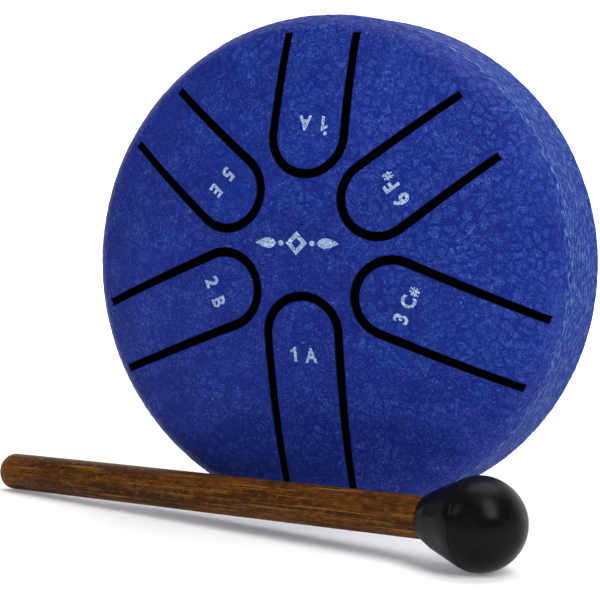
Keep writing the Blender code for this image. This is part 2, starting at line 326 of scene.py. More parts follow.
def coat(n):
    """The wrinkle coat's relief: (position, height, thin bright creases, broad cells), and the paint's masks, among
    them a ramp towards the lit upper right that carries painted light.
    """
    p = n.position()
    bend = n.vector("SUBTRACT", n.noise(p, 0.8, 2.0, colour=True), (0.5, 0.5, 0.5))
    q = n.vector("ADD", p, n.vector("SCALE", bend, scale=1.1))
    # rounded cells with sunk borders, coarse here and fine there
    off_axis = n.vector("MULTIPLY", n.vector("SUBTRACT", p, (AX / MM, 0.0, AZ / MM)), (1.0, 0.0, 1.0))
    parts = n.new("ShaderNodeSeparateXYZ")
    n.link(off_axis, parts.inputs[0])
    place = n.new("ShaderNodeSeparateXYZ")
    n.link(p, place.inputs[0])
    deep = n.math("SUBTRACT", place.outputs[1], AY / MM)
    wall = n.ramp(n.math("ADD", deep, n.math("MULTIPLY", n.noise(p, 0.8, 3.0, 0.65), 1.1)), 9.7, 10.9)
    wall = n.math("MULTIPLY", wall, n.ramp(n.vector("LENGTH", off_axis), 36.3, 37.5))
    wall = n.math("MULTIPLY", wall, n.ramp(deep, WALL_END + 0.35, WALL_END - 0.05))  # the base has no drawn streaks
    broad = n.ramp(n.edges(q, 0.62), 0.0, 0.26)
    small = n.ramp(n.edges(n.vector("ADD", q, (5.0, 7.0, 3.0)), 1.25), 0.0, 0.24)
    # close curly creases, like the contour lines of a hilly field
    field = n.noise(n.vector("ADD", p, (17.0, 5.0, 9.0)), 0.62, 1.2, 0.45)
    curl = n.math("MULTIPLY_ADD", n.math("SINE", n.math("MULTIPLY", field, 80.0)), 0.5, 0.5)
    field2 = n.noise(n.vector("ADD", p, (2.0, 15.0, 4.0)), 1.05, 1.2, 0.5)
    curl2 = n.math("MULTIPLY_ADD", n.math("SINE", n.math("MULTIPLY", field2, 60.0)), 0.5, 0.5)
    where = n.ramp(n.noise(n.vector("ADD", p, (3.0, 8.0, 1.0)), 0.16, 2.0), 0.40, 0.60)
    # a ramp towards the upper right, the side the light comes from: in the paint it is painted light, a paler coat
    # there, and it also gives that side broader cells
    lit_side_ramp = n.ramp(n.math("ADD", parts.outputs[0], n.math("MULTIPLY", parts.outputs[2], 0.6)), -6.0, 26.0)
    where = n.math("MULTIPLY_ADD", where, n.math("MULTIPLY_ADD", lit_side_ramp, -0.35, 1.0), n.math("MULTIPLY", lit_side_ramp, 0.35))
    spots = n.ramp(n.noise(n.vector("ADD", p, (9.0, 2.0, 5.0)), 0.55, 2.0), 0.36, 0.64)
    grain = n.noise(p, 3.2, 2.0, 0.6)
    cells = n.math("ADD", n.math("MULTIPLY", broad, where), n.math("MULTIPLY", small, n.math("SUBTRACT", 1.1, where)))
    # tops of the broad cells towards the lit upper right, off the wall: a painted highlight
    painted_lit_cell_tops = n.math("MULTIPLY", n.ramp(broad, 0.45, 0.95), n.math("MULTIPLY", lit_side_ramp, n.math("SUBTRACT", 1.0, wall)))
    curls = n.math("ADD", n.math("MULTIPLY", curl, spots), n.math("MULTIPLY", curl2, n.math("SUBTRACT", 1.0, spots)))
    height = n.math("ADD", n.math("MULTIPLY", cells, 0.9), n.math("MULTIPLY", curls, 0.55))
    height = n.math("ADD", height, n.math("MULTIPLY", grain, 0.7))
    height = n.math("MULTIPLY", height, n.math("MULTIPLY_ADD", wall, 0.9, 1.0))
    crease = n.math("MULTIPLY", n.ramp(curls, 0.66, 1.0), n.ramp(cells, 0.25, 0.9))
    hair = n.ramp(n.math("ABSOLUTE", n.math("SUBTRACT", n.noise(p, 0.42, 4.0, 0.6), 0.5)), 0.0, 0.008, 1.0, 0.0)
    hair = n.math("MULTIPLY", hair, n.ramp(n.noise(p, 0.2, 2.0), 0.46, 0.58))
    # streaks that follow the rim: relief, and in the paint a painted reflection of grazing light on the wall
    lay = n.new("ShaderNodeCombineXYZ")
    n.put(lay.inputs[0], n.math("MULTIPLY", n.math("ARCTAN2", parts.outputs[2], parts.outputs[0]), 29.0))
    n.put(lay.inputs[1], n.math("MULTIPLY", n.math("ADD", deep, n.vector("LENGTH", off_axis)), 1.65))
    streak = n.noise(lay.outputs[0], 1.0, 2.5, 0.62, 0.5)
    # a band just behind the crease, where the painted reflection streaks are strongest
    rim = n.math("MULTIPLY", n.ramp(deep, 10.0, 10.5), n.ramp(deep, 11.2, 13.5, 1.0, 0.0))
    height = n.math("ADD", height, n.math("MULTIPLY", n.math("MULTIPLY", streak, wall), 2.2))
    return p, height, crease, cells, hair, grain, wall, streak, rim, painted_lit_cell_tops, curls, lit_side_ramp


def paint(name="blue_wrinkle_coat"):
    n = Nodes(name)
    p, height, crease, cells, hair, grain, wall, streak, rim, painted_lit_cell_tops, curls, lit_side_ramp = coat(n)
    tone = n.ramp(n.noise(p, 0.10, 3.0, 0.6), 0.35, 0.65)
    pale_patches_and_lit_side = n.ramp(n.noise(n.vector("ADD", p, (6.0, 0.0, 2.0)), 0.13, 4.0, 0.62), 0.42, 0.60)
    # the lit upper right joins the random patches as painted light: it raises the amount of pale creases and flecks
    # there
    pale_patches_and_lit_side = n.math("MAXIMUM", pale_patches_and_lit_side, lit_side_ramp)
    base = n.mix(tone, srgb(15, 34, 122), srgb(20, 42, 134))
    # painted shade: the cells' sunk borders darkened
    base = n.mix(n.ramp(cells, 0.0, 0.8, 0.42, 0.0), base, srgb(10, 24, 104))
    base = n.mix(n.math("MULTIPLY", wall, 0.80), base, srgb(4, 42, 140))
    # painted highlight: lighter blue on the cell tops of the lit side
    base = n.mix(n.math("MULTIPLY", painted_lit_cell_tops, 0.11), base, srgb(48, 74, 172))
    pale = n.mix(wall, srgb(84, 112, 186), srgb(96, 128, 178))
    light = n.math("MULTIPLY_ADD", pale_patches_and_lit_side, 0.20, 0.25)
    colour = n.mix(n.math("MULTIPLY", crease, n.math("MULTIPLY_ADD", wall, -0.10, light)), base, pale)
    colour = n.mix(n.math("MULTIPLY", n.ramp(grain, 0.52, 0.80), n.math("MULTIPLY_ADD", wall, -0.12, n.math("MULTIPLY", light, 0.72))), colour, pale)
    # painted reflection on the wall: pale streaks, strongest behind the crease, with darker blue between them
    colour = n.mix(n.math("MULTIPLY", n.math("MULTIPLY", n.ramp(streak, 0.44, 0.30), wall), 0.60), colour, srgb(4, 30, 130))
    bright = n.math("MULTIPLY", n.ramp(streak, 0.48, 0.66), n.math("MULTIPLY_ADD", rim, 0.28, 0.44))
    colour = n.mix(n.math("MULTIPLY", bright, n.math("MAXIMUM", wall, rim)), colour, srgb(128, 146, 172))
    colour = n.mix(n.math("MULTIPLY", hair, 0.50), colour, srgb(100, 128, 200))
    rough = n.math("ADD", n.math("MULTIPLY", grain, 0.20), 0.36)
    return n.done(colour, rough, n.bump(height, 0.00008, 1.0), specular=n.math("MULTIPLY_ADD", wall, -0.072, 0.08))


def ink(name="note_marking"):
    """Pale print that has only caught the coat's high spots."""
    n = Nodes(name)
    p, height, crease, cells, hair, grain, wall, streak, rim, painted_lit_cell_tops, curls, lit_side_ramp = coat(n)
    fleck = n.ramp(n.noise(p, 3.0, 3.0, 0.65, 0.6), 0.36, 0.58)
    amount = n.math("MULTIPLY", n.ramp(curls, 0.10, 0.62), n.math("MULTIPLY_ADD", fleck, 0.45, 0.55))
    amount = n.math("MULTIPLY_ADD", amount, 0.70, 0.15)
    colour = n.mix(amount, srgb(36, 58, 148), srgb(190, 212, 230))
    return n.done(colour, 0.55, n.bump(height, 0.00005, 0.9), specular=0.09)


# Near-black for the inside of the drum and the slots' cut walls: partly the inside's own dark steel, partly painted
# shade that keeps the slots dark.
def dark_inside_and_slot_shade():
    n = Nodes("dark_inside_and_slot_shade")
    p = n.position()
    tone = n.noise(p, 0.5, 4.0, 0.6)
    return n.done(n.mix(tone, (0.0065, 0.0068, 0.0090), (0.0110, 0.0115, 0.0140)), 0.7, specular=0.02)


def rubber(name, dark, light, rough):
    n = Nodes(name)
    p = n.position()
    speck = n.noise(p, 6.0, 3.0, 0.6)
    cloud = n.noise(p, 0.35, 3.0, 0.55)
    colour = n.mix(n.ramp(cloud, 0.35, 0.7), dark, light)
    roughness = n.math("ADD", n.math("MULTIPLY", n.ramp(cloud, 0.3, 0.7), 0.14), rough)
    return n.done(colour, roughness, n.bump(speck, 0.00002, 0.35), specular=0.07)


def bamboo():
    """Brown stained bamboo: long dark and golden fibre bundles along the stick."""
    n = Nodes("stained_bamboo")
    p = n.vector("SUBTRACT", n.position(), tuple(head_at / MM))
    own = []
    for axis in TURN.transposed():
        dot = n.new("ShaderNodeVectorMath", operation="DOT_PRODUCT")
        n.put(dot.inputs[0], p)
        n.put(dot.inputs[1], tuple(axis))
        own.append(dot.outputs["Value"])

    def along(across, lengthwise, offset=0.0):
        combine = n.new("ShaderNodeCombineXYZ")
        n.put(combine.inputs[0], n.math("MULTIPLY_ADD", own[0], across, offset))
        n.put(combine.inputs[1], n.math("MULTIPLY", own[1], across))
        n.put(combine.inputs[2], n.math("MULTIPLY", own[2], lengthwise))
        return combine.outputs[0]

    blotch = n.noise(along(0.42, 0.085, 4.0), 1.0, 4.0, 0.62, 0.8)
    broad = n.noise(along(0.50, 0.030), 1.0, 3.0, 0.55, 0.3)
    fibre = n.noise(along(2.2, 0.11, 7.0), 1.0, 3.0, 0.6, 0.2)
    hair = n.noise(along(5.4, 0.16, 3.0), 1.0, 2.0, 0.6)
    gold = n.noise(along(3.4, 0.06, 13.0), 1.0, 2.0, 0.55)
    pores = n.noise(along(2.6, 1.1, 9.0), 1.0, 2.0, 0.6)
    mottle = n.noise(along(1.5, 0.75, 21.0), 1.0, 4.0, 0.72, 0.4)
    colour = n.mix(n.ramp(broad, 0.32, 0.68), srgb(60, 35, 14), srgb(98, 58, 20))
    colour = n.mix(n.math("MULTIPLY", n.ramp(fibre, 0.52, 0.68), 0.38), colour, srgb(138, 88, 34))
    colour = n.mix(n.math("MULTIPLY", n.ramp(fibre, 0.34, 0.46, 1.0, 0.0), 0.32), colour, srgb(46, 27, 13))
    colour = n.mix(n.math("MULTIPLY", n.ramp(hair, 0.56, 0.70), 0.25), colour, srgb(148, 102, 44))
    colour = n.mix(n.math("MULTIPLY", n.ramp(hair, 0.32, 0.44, 1.0, 0.0), 0.26), colour, srgb(38, 23, 12))
    colour = n.mix(n.math("MULTIPLY", n.ramp(gold, 0.60, 0.68), 0.65), colour, srgb(160, 112, 46))
    colour = n.mix(n.math("MULTIPLY", n.ramp(pores, 0.30, 0.42, 1.0, 0.0), 0.35), colour, srgb(42, 25, 12))
    colour = n.mix(n.math("MULTIPLY", n.ramp(blotch, 0.50, 0.62), 0.45), colour, srgb(46, 27, 14))
    colour = n.mix(n.math("MULTIPLY", n.ramp(mottle, 0.53, 0.66), 0.55), colour, srgb(134, 78, 30))
    colour = n.mix(n.math("MULTIPLY", n.ramp(mottle, 0.36, 0.48, 1.0, 0.0), 0.62), colour, srgb(40, 23, 14))
    # the cut end and the last few millimetres are paler, where the stain has worn
    end = n.ramp(own[2], -LENGTH, -LENGTH + 4.5, 1.0, 0.0)
    colour = n.mix(n.math("MULTIPLY", end, 0.66), colour, srgb(132, 88, 40))
    height = n.math("ADD", n.math("MULTIPLY", fibre, 0.7), n.math("MULTIPLY", hair, 0.5))
    rough = n.math("ADD", n.math("MULTIPLY", hair, 0.25), 0.33)
    return n.done(colour, rough, n.bump(height, 0.00006, 0.7), specular=0.03)


PAINT, INK, INSIDE_AND_SLOT_SHADE = paint(), ink(), dark_inside_and_slot_shade()
HEAD_RUBBER = rubber("beater_rubber", (0.0028, 0.0028, 0.0033), (0.0052, 0.0052, 0.0058), 0.24)
FOOT_RUBBER = rubber("foot_rubber_matt", (0.012, 0.012, 0.013), (0.022, 0.022, 0.024), 0.55)
WOOD = bamboo()


# ------------------------------------------------------------------ the face: slots, tongues, markings
def local_of(points, angle):
    u = radians(angle)
    x, y = points[:, 0] - PATTERN[0], points[:, 1] - PATTERN[1]
    return x * cos(u) + y * sin(u), -x * sin(u) + y * cos(u)


def to_face(local, angle):
    u = radians(angle)
    s, v = np.asarray(local, float).T
    return np.stack([PATTERN[0] + s * cos(u) - v * sin(u), PATTERN[1] + s * sin(u) + v * cos(u)], 1)


def slot_edges(s, tip):
    """Distances of a slot's inner and outer edges from the tongue's centreline."""
    out = np.maximum(0.0, np.asarray(s, float) - tip)
    pitch, half = PITCH - PITCH_TAPER * out, 0.5 * (SLOT - SLOT_TAPER * out)
    return pitch - half, pitch + half


def slot_distance(points, tongue):
    """Distance from the slot's edge, negative inside the slot."""
    angle, tip, left, right = tongue
    s, v = local_of(points, angle)
    inner, outer = slot_edges(s, tip)
    ring = np.abs(np.hypot(s - tip, v) - PITCH) - SLOT / 2
    past = s - np.where(v > 0, left, right)
    beside = np.abs(np.abs(v) - 0.5 * (inner + outer)) - 0.5 * (outer - inner)
    leg = np.hypot(np.maximum(past, 0), np.maximum(beside, 0)) + np.minimum(np.maximum(past, beside), 0)
    return np.where(s < tip, ring, leg)


def in_tongue(points, tongue):
    angle, tip = tongue[:2]
    s, v = local_of(points, angle)
    inner = slot_edges(s, tip)[0]
    return np.where(s < tip, np.hypot(s - tip, v) < PITCH - SLOT / 2, (np.abs(v) < inner) & (s < root_of(tongue)))


def run(a, b, step):
    """Points from a towards b, without b."""
    count = max(1, int(np.ceil(hypot(b[0] - a[0], b[1] - a[1]) / step)))
    return [(a[0] + (b[0] - a[0]) * i / count, a[1] + (b[1] - a[1]) * i / count) for i in range(count)]


def bend(cx, cy, radius, start, end, step):
    count = max(2, int(np.ceil(abs(radians(end - start)) * radius / step)))
    return arc(cx, cy, radius, start, end, count)[:-1]


def slot_loop(tongue, grow, step):
    """Closed outline of the U slot, grown by a distance, and the places of the root line's two ends in it."""
    angle, tip, left, right = tongue
    root = root_of(tongue)

    def inner(at):
        return float(slot_edges(at, tip)[0]) - grow

    def outer(at):
        return float(slot_edges(at, tip)[1]) + grow

    small = min(step, 0.2)
    loop = run((root, inner(root)), (left + grow, inner(left)), step)
    loop += run((left + grow, inner(left)), (left + grow, outer(left)), small)
    loop += run((left + grow, outer(left)), (tip, outer(tip)), step)
    loop += bend(tip, 0, outer(tip), 90, 270, step)
    loop += run((tip, -outer(tip)), (right + grow, -outer(right)), step)
    loop += run((right + grow, -outer(right)), (right + grow, -inner(right)), small)
    loop += run((right + grow, -inner(right)), (root, -inner(root)), step)
    second = len(loop)
    loop += run((root, -inner(root)), (tip, -inner(tip)), step)
    loop += bend(tip, 0, inner(tip), 270, 90, step)
    loop += run((tip, inner(tip)), (root, inner(root)), step)
    return to_face(loop, angle), (0, second)


def glyph(character, height, weight, narrow):
    """Outline edges of a character, its middle at the origin and its capital height given."""
    def read(text):
        curve = bpy.data.curves.new("glyph", "FONT")
        curve.body = text
        curve.size = 1.0
        curve.resolution_u = 3
        curve.offset = weight
        obj = bpy.data.objects.new("glyph", curve)
        bpy.context.scene.collection.objects.link(obj)
        graph = bpy.context.evaluated_depsgraph_get()
        mesh = bpy.data.meshes.new_from_object(obj.evaluated_get(graph))
        points = np.array([v.co[:2] for v in mesh.vertices], float)
        used = {}
        for polygon in mesh.polygons:
            for key in polygon.edge_keys:
                used[key] = used.get(key, 0) + 1
        edges = [key for key, count in used.items() if count == 1]
        bpy.data.objects.remove(obj, do_unlink=True)
        bpy.data.curves.remove(curve)
        bpy.data.meshes.remove(mesh)
        return points, edges

    capital, _ = read("H")
    scale = height / (capital[:, 1].max() - capital[:, 1].min())
    points, edges = read(character)
    points = (points - 0.5 * (points.max(0) + points.min(0))) * scale * (narrow, 1.0)
    return weld_outline(points, edges)


def figure_one(height):
    """A one with a flag, its middle at the origin."""
    shape = [(0.34, -0.5), (0.34, 0.5), (0.20, 0.5), (0.08, 0.36), (-0.12, 0.27), (-0.12, 0.10), (0.13, 0.20), (0.13, -0.5)]
    return polygon([(x * height, y * height) for x, y in shape])


def weld_outline(points, edges, within=0.02):
    """Drops doubled points and very short steps, so that the outline triangulates well."""
    keep, index = [], []
    for p in points:
        for k, q in enumerate(keep):
            if abs(p[0] - q[0]) < within and abs(p[1] - q[1]) < within:
                index.append(k)
                break
        else:
            index.append(len(keep))
            keep.append(p)
    out = {tuple(sorted((index[a], index[b]))) for a, b in edges if index[a] != index[b]}
    return np.array(keep), sorted(out)


def polygon(points):
    return np.array(points, float), [(i, (i + 1) % len(points)) for i in range(len(points))]


def markings():
    """Every printed outline as (points, edges) on the face plane: each tongue's number and note, and a plain ornament."""
    notes = {  # character, out along the tongue, across it, capital height
        "tongue_a_low": (("1", 14.1, -1.83, 2.2), ("A", 14.3, 1.18, 2.2)),
        "tongue_b": (("2", 14.9, -1.73, 2.25), ("B", 14.9, 1.47, 2.2)),
        "tongue_c_sharp": (("3", 17.4, -2.24, 2.25), ("C", 17.5, 0.42, 2.2), ("#", 17.8, 2.15, 1.45)),
        "tongue_e": (("5", 17.25, -1.93, 2.25), ("E", 17.2, 1.20, 2.2)),
        "tongue_f_sharp": (("6", 17.3, -2.32, 2.45), ("F", 17.3, 0.21, 2.4), ("#", 17.75, 1.70, 1.45)),
        "tongue_a_high": (("1", 19.85, -2.75, 2.2), (".", 18.40, -2.75, 0.3), ("A", 19.87, 0.55, 2.2)),
    }
    found = []
    for name, characters in notes.items():
        angle = TONGUES[name][0]
        for character, s, v, height in characters:
            if character == "1":
                points, edges = figure_one(height)
            elif character == ".":
                points, edges = polygon([(height * cos(a), height * sin(a)) for a in np.linspace(0, 2 * pi, 10, endpoint=False)])
            else:
                points, edges = glyph(character, height, 0.034, 0.96 if character in "2356#" else 0.86)
            # a character's up looks at the middle of the face
            local = np.stack([s - points[:, 1], v + points[:, 0]], 1)
            found.append((to_face(local, angle), edges))
    cx, cy = -0.45, 3.75
    lozenge = [(1.7, 0), (0, 1.75), (-1.7, 0), (0, -1.75)]
    hole = [(0.78, 0), (0, 0.80), (-0.78, 0), (0, -0.80)]
    found.append(polygon([(cx + x, cy + y) for x, y in lozenge]))
    found.append(polygon([(cx + x, cy + y) for x, y in hole]))
    for side in (-1, 1):
        found.append(polygon([(cx + side * 2.45 + 0.42 * cos(a), cy + 0.42 * sin(a)) for a in np.linspace(0, 2 * pi, 12, endpoint=False)]))
        leaf = [(t, 0.78 * sin(pi * min(t, 1) ** 0.7)) for t in np.linspace(0, 1, 11)]
        shape = [(3.25 + 3.4 * t, h) for t, h in leaf] + [(3.25 + 3.4 * t, -h) for t, h in leaf[-2:0:-1]]
        found.append(polygon([(cx + side * x, cy + y) for x, y in shape]))
    return found


def inside_edges(points, corners, edges):
    """Even-odd test of points against an outline."""
    result = np.zeros(len(points), bool)
    for a, b in edges:
        (x0, y0), (x1, y1) = corners[a], corners[b]
        if y0 == y1:
            continue
        crosses = (points[:, 1] >= min(y0, y1)) & (points[:, 1] < max(y0, y1))
        at = x0 + (points[:, 1] - y0) * (x1 - x0) / (y1 - y0)
        result ^= crosses & (points[:, 0] < at)
    return result


def near_edges(points, corners, edges, within):
    low, high = corners.min(0) - within, corners.max(0) + within
    near = np.zeros(len(points), bool)
    some = np.nonzero(((points > low) & (points < high)).all(1))[0]
    if not len(some):
        return near
    p = points[some]
    best = np.full(len(some), 1e9)
    for a, b in edges:
        d = corners[b] - corners[a]
        t = np.clip(((p - corners[a]) @ d) / max(d @ d, 1e-12), 0, 1)
        best = np.minimum(best, np.linalg.norm(p - corners[a] - t[:, None] * d, axis=1))
    near[some] = best < within
    return near


def build_face(h=0.34, columns=640):
    rng = np.random.default_rng(7)
    points, edges = [], []

    def add(some, constrain=None):
        base = len(points)
        points.extend((float(x), float(y)) for x, y in some)
        if constrain:
            edges.extend((base + a, base + b) for a, b in constrain)
        return base

    rim = arc(0, 0, RIM, 0, 360, columns)[:-1]
    rim_base = add(rim, [(i, (i + 1) % columns) for i in range(columns)])
    rows = (EDGE * 0.134, EDGE * 0.5, EDGE)
    step = 0.30
    slot_points = []
    for tongue in TONGUES.values():
        loop, (first, second) = slot_loop(tongue, 0.0, step)
        base = add(loop, [(i, (i + 1) % len(loop)) for i in range(len(loop))])
        slot_points.append((base, len(loop)))
        a, b = np.array(points[base + first]), np.array(points[base + second])
        width = np.linalg.norm(b - a)
        stops = [rows[0], rows[1], rows[2]] + list(np.linspace(rows[2], width - rows[2], int(width / h))[1:-1])
        stops += [width - rows[2], width - rows[1], width - rows[0]]
        chain = [tuple(a + (b - a) * t / width) for t in stops]
        start = add(chain, [(i, i + 1) for i in range(len(chain) - 1)])
        edges.append((base + first, start))
        edges.append((start + len(chain) - 1, base + second))
        for grow in rows:
            more, _ = slot_loop(tongue, grow, step)
            add(more)
    printed = markings()
    for corners, outline in printed:
        add(corners, outline)

    xs = np.arange(-RIM, RIM, h)
    grid = np.concatenate(
        [np.stack([xs + (h / 2 if i % 2 else 0), np.full(len(xs), y)], 1) for i, y in enumerate(np.arange(-RIM, RIM, h * 0.866))]
    )
    grid = grid + rng.normal(0, 0.10 * h, grid.shape)
    keep = np.hypot(grid[:, 0], grid[:, 1]) < RIM - 0.6 * h
    for tongue in TONGUES.values():
        keep &= slot_distance(grid, tongue) > rows[2] + 0.13
        s, v = local_of(grid, tongue[0])
        keep &= ~((np.abs(s - root_of(tongue)) < 0.14) & (np.abs(v) < PITCH))
    grid = grid[keep]
    for corners, outline in printed:
        grid = grid[~near_edges(grid, corners, outline, 0.09)]
    add(grid)

    flat, _, triangles, origins, _, _ = delaunay_2d_cdt([Vector(p) for p in points], edges, [], 0, 1e-5)
    flat = np.array([tuple(p) for p in flat])
    triangles = np.array([t for t in triangles if len(t) == 3], int)
    place = {}
    for out, sources in enumerate(origins):
        for source in sources:
            place[source] = out
    a, b, c = (flat[triangles[:, k]] for k in range(3))
    area = np.cross(b - a, c - a)
    triangles[area < 0] = triangles[area < 0][:, ::-1]
    triangles = triangles[np.abs(area) > 1e-9]
    middle = flat[triangles].mean(1)
    owner = np.zeros(len(triangles), int)
    for k, tongue in enumerate(TONGUES.values()):
        owner[in_tongue(middle, tongue)] = k + 1
        owner[slot_distance(middle, tongue) < 0] = -1
    owner[np.hypot(middle[:, 0], middle[:, 1]) > RIM] = -1
    shade = np.zeros(len(triangles), int)
    for corners, outline in printed:
        low, high = corners.min(0), corners.max(0)
        some = np.nonzero(((middle > low) & (middle < high)).all(1))[0]
        shade[some] ^= inside_edges(middle[some], corners, outline)
    triangles, shade, owner = triangles[owner >= 0], shade[owner >= 0], owner[owner >= 0]

    # heights: the dome, the rounded slot edges, then the wrinkles along the surface's normal
    radius = np.hypot(flat[:, 0], flat[:, 1])
    distance = np.full(len(flat), 9.0)
    for tongue in TONGUES.values():
        distance = np.minimum(distance, np.abs(slot_distance(flat, tongue)))
    near = np.clip(distance, 0, EDGE)
    drop = EDGE - np.sqrt(np.maximum(EDGE**2 - (EDGE - near) ** 2, 0))
    base = np.stack([flat[:, 0], flat[:, 1], surface(radius)], 1)
    slope = gradient(radius)
    normal = np.stack([-slope * flat[:, 0] / np.maximum(radius, 1e-9), -slope * flat[:, 1] / np.maximum(radius, 1e-9), np.ones(len(flat))], 1)
    normal /= np.linalg.norm(normal, axis=1, keepdims=True)
    outer = base.copy()
    outer[:, 2] -= drop
    on_slot = distance < 1e-4
    lift = wrinkle(base) * np.clip(0.25 + distance / (2 * EDGE), 0.25, 1.0)
    outer += normal * lift[:, None]

    # corner and wall, ring by ring
    beyond = [(r, z) for r, z in zip(*corner_curve(24)) if r > RIM + 0.06]
    before = [(r, z) for r, z in beyond if z > -WALL_START + 0.75]
    (xa, za), (xc, zc) = before[-1], (R_FACE + 0.025, -WALL_START - 0.9)
    turn = [
        ((1 - t) ** 2 * xa + 2 * t * (1 - t) * R_FACE + t * t * xc, (1 - t) ** 2 * za - 2 * t * (1 - t) * WALL_START + t * t * zc)
        for t in np.linspace(0, 1, 8)[1:]
    ]
    profile = before + turn + dense([(xc, zc), (R_REAR, -WALL_END + 0.25)], 0.38)[1:]
    profile += [(R_REAR - 0.05, -WALL_END + 0.08), (R_REAR - 0.22, -WALL_END)]
    rim_ids = [place[rim_base + k] for k in range(columns)]
    rings = [rim_ids]
    angles = np.linspace(0, 2 * pi, columns, endpoint=False)
    start = len(outer)
    ring_points, ring_normals = [], []
    for j, (r, z) in enumerate(profile):
        back = profile[j - 1] if j else (RIM, float(surface(RIM)))
        ahead = profile[j + 1] if j + 1 < len(profile) else (r, z)
        tr, tz = ahead[0] - back[0], ahead[1] - back[1]
        length = hypot(tr, tz)
        nr, nz = -tz / length, tr / length
        ring_points.append(np.stack([r * np.cos(angles), r * np.sin(angles), np.full(columns, z)], 1))
        ring_normals.append(np.stack([nr * np.cos(angles), nr * np.sin(angles), np.full(columns, nz)], 1))
        rings.append(list(range(start + j * columns, start + (j + 1) * columns)))
    ring_points, ring_normals = np.concatenate(ring_points), np.concatenate(ring_normals)
    ring_points = ring_points + ring_normals * wrinkle(ring_points, 1.6)[:, None]
    outer = np.concatenate([outer, ring_points])
    quads = [
        (a[k], b[k], b[(k + 1) % columns], a[(k + 1) % columns]) for a, b in zip(rings, rings[1:]) for k in range(columns)
    ]
    normals = vertex_normals(outer, [tuple(t) for t in triangles] + quads)

    pieces = {}
    names = ["shell", *TONGUES]
    for number, name in enumerate(names):
        own = triangles[owner == number]
        own_shade = shade[owner == number]
        faces = [tuple(t) for t in own] + (quads if number == 0 else [])
        slots = list(own_shade) + ([0] * len(quads) if number == 0 else [])
        # the cut edges: a wall down to the sheet's inner side
        count = {}
        for t in own:
            for i, j in ((t[0], t[1]), (t[1], t[2]), (t[2], t[0])):
                count[(i, j)] = count.get((i, j), 0) + 1
        rim_set = set(rim_ids) if number == 0 else set()
        border = [
            (i, j) for (i, j) in count if (j, i) not in count and not (i in rim_set and j in rim_set)
        ]
        used = sorted({i for e in border for i in e})
        ids = sorted({i for f in faces for i in f})
        pts = [outer[i] for i in ids]
        nrm = [normals[i] for i in ids]
        new = {i: k for k, i in enumerate(ids)}
        faces = [tuple(new[i] for i in f) for f in faces]
        floor = {}
        for i in used:
            floor[i] = len(pts)
            x, y = flat[i]
            pts.append((x, y, float(surface(hypot(x, y))) - SHEET * 1.03))
            nrm.append(None)
        # the cut walls take the near-black inside material: painted shade in the slots
        for i, j in border:
            faces.append((new[i], floor[i], floor[j], new[j]))
            slots.append(2)
        # the inner side, coarse
        coarse = 2.2
        inner = [tuple(flat[i]) for i in used]
        order = {i: k for k, i in enumerate(used)}
        links = [(order[i], order[j]) for i, j in border]
        ring_start = len(inner)
        if number == 0:
            inner += [tuple(flat[i]) for i in rim_ids]
            links += [(ring_start + k, ring_start + (k + 1) % columns) for k in range(columns)]
        span = np.arange(-RIM, RIM, coarse)
        fill = np.stack(np.meshgrid(span, span), -1).reshape(-1, 2) + 0.37
        if number == 0:
            ok = np.hypot(fill[:, 0], fill[:, 1]) < RIM - 0.9
            for tongue in TONGUES.values():
                ok &= (slot_distance(fill, tongue) > 0.8) & ~in_tongue(fill, tongue)
        else:
            tongue = TONGUES[name]
            ok = in_tongue(fill, tongue) & (slot_distance(fill, tongue) > 0.8)
        inner += [tuple(p) for p in fill[ok]]
        flat2, _, tri2, origin2, _, _ = delaunay_2d_cdt([Vector(p) for p in inner], links, [], 0, 1e-5)
        flat2 = np.array([tuple(p) for p in flat2])
        tri2 = np.array([t for t in tri2 if len(t) == 3], int)
        mid2 = flat2[tri2].mean(1)
        if number == 0:
            ok = np.hypot(mid2[:, 0], mid2[:, 1]) < RIM
            for tongue in TONGUES.values():
                ok &= (slot_distance(mid2, tongue) > 0) & ~in_tongue(mid2, tongue)
        else:
            ok = in_tongue(mid2, tongue)
        tri2 = tri2[ok]
        back = {}
        for out, sources in enumerate(origin2):
            for source in sources:
                if source < len(used):
                    back[out] = floor[used[source]]
        inner_rim = {}
        for out, sources in enumerate(origin2):
            if out not in back:
                back[out] = len(pts)
                x, y = flat2[out]
                r = hypot(x, y)
                if r > RIM - 0.05:
                    pts.append((x * 36.95 / r, y * 36.95 / r, -9.6))
                else:
                    pts.append((x, y, float(surface(r)) - SHEET * 1.03))
                nrm.append(None)
            for source in sources:
                if number == 0 and ring_start <= source < ring_start + columns:
                    inner_rim[source - ring_start] = back[out]
        for t in tri2:
            p, q, r = flat2[t[0]], flat2[t[1]], flat2[t[2]]
            turn = (q[0] - p[0]) * (r[1] - p[1]) - (q[1] - p[1]) * (r[0] - p[0])
            t = t if turn < 0 else t[::-1]
            faces.append(tuple(back[i] for i in t))
            slots.append(2)
        if number == 0:
            inside = [(R_FACE - 1.03, -10.7), (R_REAR - 1.0, -WALL_END + 0.05), (R_REAR - 0.85, -WALL_END)]
            last = [inner_rim[k] for k in range(columns)]
            for r, z in inside:
                ring = list(range(len(pts), len(pts) + columns))
                pts += [(r * cos(a), r * sin(a), z) for a in angles]
                nrm += [None] * columns
                for k in range(columns):
                    m = (k + 1) % columns
                    faces.append((last[k], last[m], ring[m], ring[k]))
                    slots.append(2)
                last = ring
            outer_last = [new[i] for i in rings[-1]]
            for k in range(columns):
                m = (k + 1) % columns
                faces.append((outer_last[k], last[k], last[m], outer_last[m]))
                slots.append(0)
        pieces[name] = (np.array(pts), faces, slots, nrm)
    return pieces


